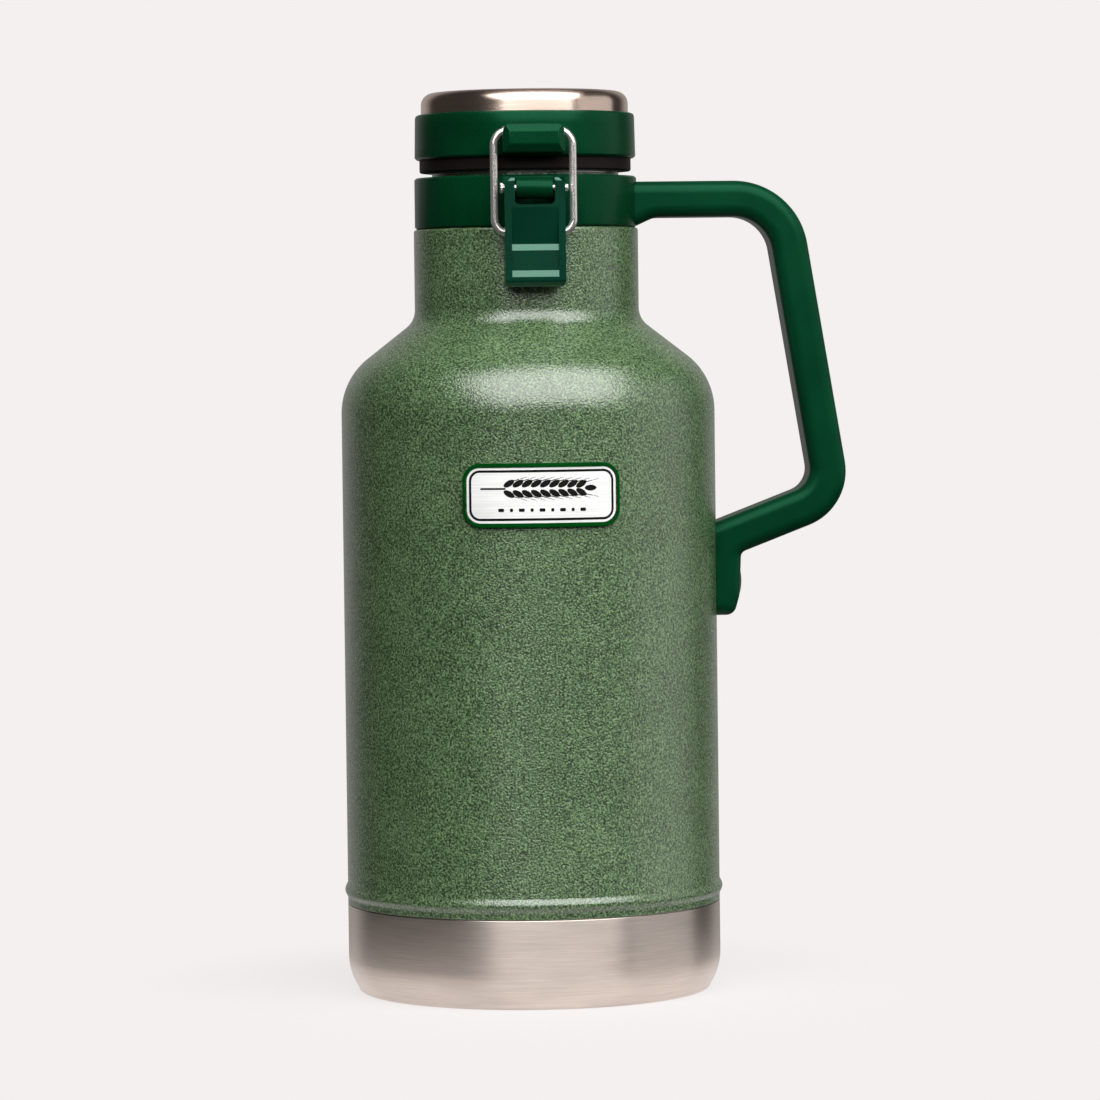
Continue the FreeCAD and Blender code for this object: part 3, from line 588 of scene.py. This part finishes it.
for name, material in (("collar", ringPlastic), ("handle", handlePlastic), ("handle_bracket", vesselSteel),
                       ("handle_screw", vesselSteel), ("screw_cap", handlePlastic),
                       ("badge_border", rimPlastic), ("badge_plate", badgeSteel),
                       ("hinge_pin", wireSteel), ("latch_lever", leverPlastic), ("bail_wire", wireSteel)):
    dressNode(name, material)

mouldedEdges = {  # radius of each moulding's edges
    "lid_ring": 0.6,
    "collar": 0.25,
    "latch_lever": 0.45,
    "badge_border": 0.3,
    "screw_cap": 0.3,
}
for name, width in mouldedEdges.items():
    softenEdges(name, width)
print("handle, collar and latch dressed")

pin = {
    "shaftRadius": 1.3,
    "leverGap": 0.1,
    "knurlCount": 14,
    "knurlDepth": 0.16,
    "knurlSides": 8,        # faces to each rib
    "endRound": 0.3,
}


def makeLatchPin():
    # plain pin with a straight-knurled head at its left end
    low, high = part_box("latch_pin")
    middleY, middleZ = (low.y + high.y) / 2, (low.z + high.z) / 2
    headRadius = (high.z - low.z) / 2
    shaftRadius = pin["shaftRadius"] * mm
    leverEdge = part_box("latch_lever")[0].x - pin["leverGap"] * mm
    end = pin["endRound"] * mm
    # (along X, radius, 1 where the surface is ribbed)
    stations = [(low.x, 0.0, 0), (low.x, headRadius - end, 0), (low.x + end, headRadius, 1),
                (leverEdge - end, headRadius, 1), (leverEdge, headRadius - end, 0),
                (leverEdge, shaftRadius, 0), (high.x - end, shaftRadius, 0),
                (high.x, shaftRadius - end, 0), (high.x, 0.0, 0)]
    segments = pin["knurlCount"] * pin["knurlSides"]
    bm = bmesh.new()
    rings = []
    for x, radius, knurled in stations:
        if radius == 0.0:
            rings.append([bm.verts.new((x, middleY, middleZ))])
            continue
        ring = []
        for k in range(segments):
            angle = 2 * math.pi * k / segments
            dip = pin["knurlDepth"] * mm * (0.5 - 0.5 * math.cos(angle * pin["knurlCount"])) * knurled
            r = radius - dip
            ring.append(bm.verts.new((x, middleY + r * math.cos(angle), middleZ + r * math.sin(angle))))
        rings.append(ring)
    for first, second in zip(rings, rings[1:]):
        joinRings(bm, first, second)
    bmesh.ops.recalc_face_normals(bm, faces=bm.faces)
    obj = finishMesh("latchPin", bm)
    smoothByAngle(obj, 40)
    dress(obj, wireSteel)
    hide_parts("latch_pin")
    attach(obj, "bottle")


makeLatchPin()
print("latch pin made")

badge = {
    "inkHeight": 0.04,
    "inkDepth": 0.15,       # how far the ink's underside sinks into the plate
    "lineInset": 0.8,
    "lineWidth": 0.8,
    "lineCorner": 3.7,
    "lineStep": 1.5,        # longest straight stretch, so that the line bends with the plate
    "earMiddle": 2.2,       # the ear's height over the badge's middle, and where it starts
    "earStart": -11.5,
    "earTaper": 0.30,
    "kernelStep": 3.0,
    "kernelPairs": 9,
    "kernelShift": 0.6,
    "kernelSpread": 1.75,
    "kernelLean": 0.52,
    "kernelLength": 4.1,
    "kernelWidth": 1.95,
    "tipShift": 0.8,
    "awnFoot": (2.2, 2.6, 0.16),    # along the ear, out from its middle, half the thickness
    "awnTip": (6.6, 3.9, 0.05),
    "stalkLength": 8.4,
    "stalkWidth": 0.6,
    "stalkGap": 0.6,
    "dashCount": 9,
    "dashStep": 3.4,
    "dashLow": -5.4,
    "dashHigh": -4.3,
    "dashLong": 0.95,       # half the length of the two kinds of dash
    "dashShort": 0.5,
    "dashCorner": 0.3,
}


def wrapOnPlate(points, plateRadius, middleZ, height):
    # (across, up) millimetres on the flat badge, laid round the bottle's front
    wrapped = []
    for across, up in points:
        angle = across / plateRadius
        r = plateRadius + height
        wrapped.append(Vector((r * math.sin(angle), -r * math.cos(angle), middleZ + up)) * mm)
    return wrapped


def makeBadgePrint():
    low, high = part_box("badge_plate")
    plateRadius = -low.y / mm
    middleZ = (low.z + high.z) / 2 / mm
    halfWide = math.asin(high.x / mm / plateRadius) * plateRadius
    halfTall = (high.z - low.z) / 2 / mm
    bm = bmesh.new()

    def addPatch(points):
        under = [bm.verts.new(p) for p in wrapOnPlate(points, plateRadius, middleZ, -badge["inkDepth"])]
        over = [bm.verts.new(p) for p in wrapOnPlate(points, plateRadius, middleZ, badge["inkHeight"])]
        bm.faces.new(over)
        bm.faces.new(list(reversed(under)))
        count = len(points)
        for i in range(count):
            n = (i + 1) % count
            bm.faces.new((under[i], under[n], over[n], over[i]))

    def addBorderLine():
        inset, corner = badge["lineInset"], badge["lineCorner"]
        wide, tall = halfWide - inset, halfTall - inset
        outline = roundedOutline([(-wide, -tall, corner), (wide, -tall, corner), (wide, tall, corner),
                                  (-wide, tall, corner)], 10)
        outer = []
        for i, point in enumerate(outline):
            following = outline[(i + 1) % len(outline)]
            pieces = max(1, int((following - point).length / badge["lineStep"]))
            for j in range(pieces):
                outer.append(point.lerp(following, j / pieces))
        count = len(outer)
        inner = []
        for i in range(count):
            along = (outer[(i + 1) % count] - outer[i - 1]).normalized()
            inner.append(outer[i] + Vector((-along.y, along.x)) * badge["lineWidth"])
        for i in range(count):
            n = (i + 1) % count
            addPatch([outer[i], outer[n], inner[n], inner[i]])

    def addKernel(x, y, lean):
        # a pointed oval
        length, width = badge["kernelLength"], badge["kernelWidth"]
        turn = Matrix.Rotation(-lean, 2)
        outline = []
        for k in range(20):
            angle = 2 * math.pi * k / 20
            pinch = 1.0 - 0.35 * max(0.0, math.cos(angle)) ** 3
            outline.append(turn @ Vector((math.cos(angle) * length / 2,
                                          math.sin(angle) * width / 2 * pinch)) + Vector((x, y)))
        addPatch(outline)

    def addBarleyEar():
        # lies along the plate: paired kernels with awns, one kernel at the tip, and a stalk
        middle, start, pairs = badge["earMiddle"], badge["earStart"], badge["kernelPairs"]
        footX, footOut, footThick = badge["awnFoot"]
        tipX, tipOut, tipThick = badge["awnTip"]
        for i in range(pairs):
            x = start + i * badge["kernelStep"]
            taper = 1.0 - badge["earTaper"] * (i / pairs) ** 2
            for side in (-1, 1):
                out = badge["kernelSpread"] * taper
                addKernel(x + badge["kernelShift"], middle + side * out, -side * badge["kernelLean"])
                footY, tipY = middle + side * footOut * taper, middle + side * tipOut * taper
                addPatch([Vector((x + footX, footY - footThick)), Vector((x + tipX, tipY - tipThick)),
                          Vector((x + tipX, tipY + tipThick)), Vector((x + footX, footY + footThick))])
        addKernel(start + pairs * badge["kernelStep"] + badge["tipShift"], middle, 0.0)
        steps, length, half = 7, badge["stalkLength"], badge["stalkWidth"] / 2
        along = [start - badge["stalkGap"] - length + length * j / steps for j in range(steps + 1)]
        edge = [Vector((x, middle - half)) for x in along]
        addPatch(edge + [Vector((x, middle + half)) for x in reversed(along)])

    def addDashes():
        low, high, corner = badge["dashLow"], badge["dashHigh"], badge["dashCorner"]
        for i in range(badge["dashCount"]):
            x = (i - (badge["dashCount"] - 1) / 2) * badge["dashStep"]
            half = badge["dashLong"] if i % 2 == 0 else badge["dashShort"]
            addPatch(roundedOutline([(x - half, low, corner), (x + half, low, corner),
                                     (x + half, high, corner), (x - half, high, corner)], 4))

    addBorderLine()
    addBarleyEar()
    addDashes()
    bmesh.ops.recalc_face_normals(bm, faces=bm.faces)
    obj = finishMesh("badgePrint", bm)
    dress(obj, inkMaterial)
    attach(obj, "bottle")


makeBadgePrint()
print("badge printed")

studio = {
    "paper": (0.905, 0.871, 0.863),
    "floorRadius": 6.0,
    "floorDark": (0.80, 0.775, 0.765),
    "floorLight": (0.83, 0.80, 0.79),
    "shadowShare": 0.15,
    "fadeFrom": 0.07,       # the floor clears away between these two distances from the bottle's middle
    "fadeTo": 0.17,
    "roomTint": (1.0, 0.98, 0.96),
    "worldFront": 0.04,
    "worldBack": 0.36,
    "backFrom": 0.6,        # how far round to the back the dim room turns pale
    "backTo": 0.9,
}


def makeFloor():
    bm = bmesh.new()
    bmesh.ops.create_circle(bm, cap_ends=True, segments=96, radius=studio["floorRadius"])
    floor = finishMesh("paperFloor", bm)
    paper = Recipe("paperFloor")
    where = paper.coordinates()
    grain = paper.noise(where, 0.002, detail=3.0)
    greys = [(0.3, studio["floorDark"]), (0.7, studio["floorLight"])]
    paper.paintWith(paper.ramp(grain.outputs["Fac"], greys))
    paper.shader.inputs["Roughness"].default_value = 0.9
    glow = paper.add("ShaderNodeEmission")
    glow.inputs["Color"].default_value = (*studio["paper"], 1.0)
    near = paper.add("ShaderNodeMixShader")
    near.inputs[0].default_value = 1.0 - studio["shadowShare"]
    paper.join(paper.shader, "BSDF", near, 1)
    paper.join(glow, "Emission", near, 2)
    distance = paper.add("ShaderNodeVectorMath", operation="LENGTH")
    paper.join(where, "Vector", distance, 0)
    fade = paper.add("ShaderNodeMapRange", interpolation_type="SMOOTHSTEP")
    fade.inputs["From Min"].default_value = studio["fadeFrom"]
    fade.inputs["From Max"].default_value = studio["fadeTo"]
    paper.join(distance, "Value", fade, "Value")
    clear = paper.add("ShaderNodeBsdfTransparent")
    blend = paper.add("ShaderNodeMixShader")
    paper.join(fade, "Result", blend, 0)
    paper.join(near, "Shader", blend, 1)
    paper.join(clear, "BSDF", blend, 2)
    paper.join(blend, "Shader", paper.tree.nodes["Material Output"], "Surface")
    dress(floor, paper.material)


def makeWorld():
    # the camera sees pale paper; the bottle sees it behind, and a dim room in front
    world = bpy.data.worlds.new("studioRoom")
    bpy.context.scene.world = world
    world.use_nodes = True
    tree = world.node_tree
    tree.nodes.clear()
    output = tree.nodes.new("ShaderNodeOutputWorld")
    seen = tree.nodes.new("ShaderNodeBackground")
    seen.inputs["Color"].default_value = (*studio["paper"], 1.0)
    room = tree.nodes.new("ShaderNodeBackground")
    room.inputs["Color"].default_value = (*studio["roomTint"], 1.0)
    place = tree.nodes.new("ShaderNodeTexCoord")
    split = tree.nodes.new("ShaderNodeSeparateXYZ")
    tree.links.new(place.outputs["Generated"], split.inputs[0])
    depth = tree.nodes.new("ShaderNodeMapRange")
    depth.interpolation_type = "SMOOTHSTEP"
    depth.inputs["From Min"].default_value = studio["backFrom"]
    depth.inputs["From Max"].default_value = studio["backTo"]
    depth.inputs["To Min"].default_value = studio["worldFront"]
    depth.inputs["To Max"].default_value = studio["worldBack"]
    tree.links.new(split.outputs["Y"], depth.inputs["Value"])
    tree.links.new(depth.outputs["Result"], room.inputs["Strength"])
    path = tree.nodes.new("ShaderNodeLightPath")
    mix = tree.nodes.new("ShaderNodeMixShader")
    tree.links.new(path.outputs["Is Camera Ray"], mix.inputs[0])
    tree.links.new(room.outputs[0], mix.inputs[1])
    tree.links.new(seen.outputs[0], mix.inputs[2])
    tree.links.new(mix.outputs[0], output.inputs["Surface"])


overheadSoftbox = {
    "place": (0.16, -0.79, 1.05),
    "aim": (0, 0, 0.22),
    "size": (2.0, 1.38),
    "watts": 35.5,
}
rightPanel = {
    "place": (1.50, -0.15, 0.50),
    "aim": (0, 0, 0.2),
    "size": (1.5, 1.3),
    "watts": 3.6,
}


def areaLight(name, setting):
    data = bpy.data.lights.new(name, "AREA")
    data.shape = "RECTANGLE"
    data.size, data.size_y = setting["size"]
    data.energy = setting["watts"]
    lamp = bpy.data.objects.new(name, data)
    bpy.context.scene.collection.objects.link(lamp)
    lamp.location = setting["place"]
    direction = Vector(setting["aim"]) - Vector(setting["place"])
    lamp.rotation_euler = direction.to_track_quat("-Z", "Y").to_euler()


view = {
    "azimuth": -4.1,        # degrees round from straight in front
    "distance": 1.722,      # metres
    "eyeHeight": 0.224,
    "aimHeight": 0.1497,
    "aimSide": 0.0069,
    "roll": -0.7,
    "lens": 165.4,
}


def makeCamera():
    data = bpy.data.cameras.new("productCamera")
    data.lens = view["lens"]
    data.sensor_width = 36.0
    data.clip_start, data.clip_end = 0.05, 60.0
    camera = bpy.data.objects.new("productCamera", data)
    bpy.context.scene.collection.objects.link(camera)
    turn = math.radians(view["azimuth"])
    side = Vector((math.cos(turn), math.sin(turn), 0)) * view["aimSide"]
    back = Vector((math.sin(turn), -math.cos(turn), 0)) * view["distance"]
    camera.location = side + back + Vector((0, 0, view["eyeHeight"]))
    aim = side + Vector((0, 0, view["aimHeight"]))
    look = (aim - camera.location).to_track_quat("-Z", "Y").to_matrix().to_4x4()
    tilt = Matrix.Rotation(math.radians(view["roll"]), 4, "Z")
    camera.matrix_world = Matrix.Translation(camera.location) @ look @ tilt
    bpy.context.scene.camera = camera


makeFloor()
makeWorld()
areaLight("overheadSoftbox", overheadSoftbox)
areaLight("rightPanel", rightPanel)
makeCamera()
bpy.context.scene.view_settings.view_transform = "Standard"
print("studio ready")
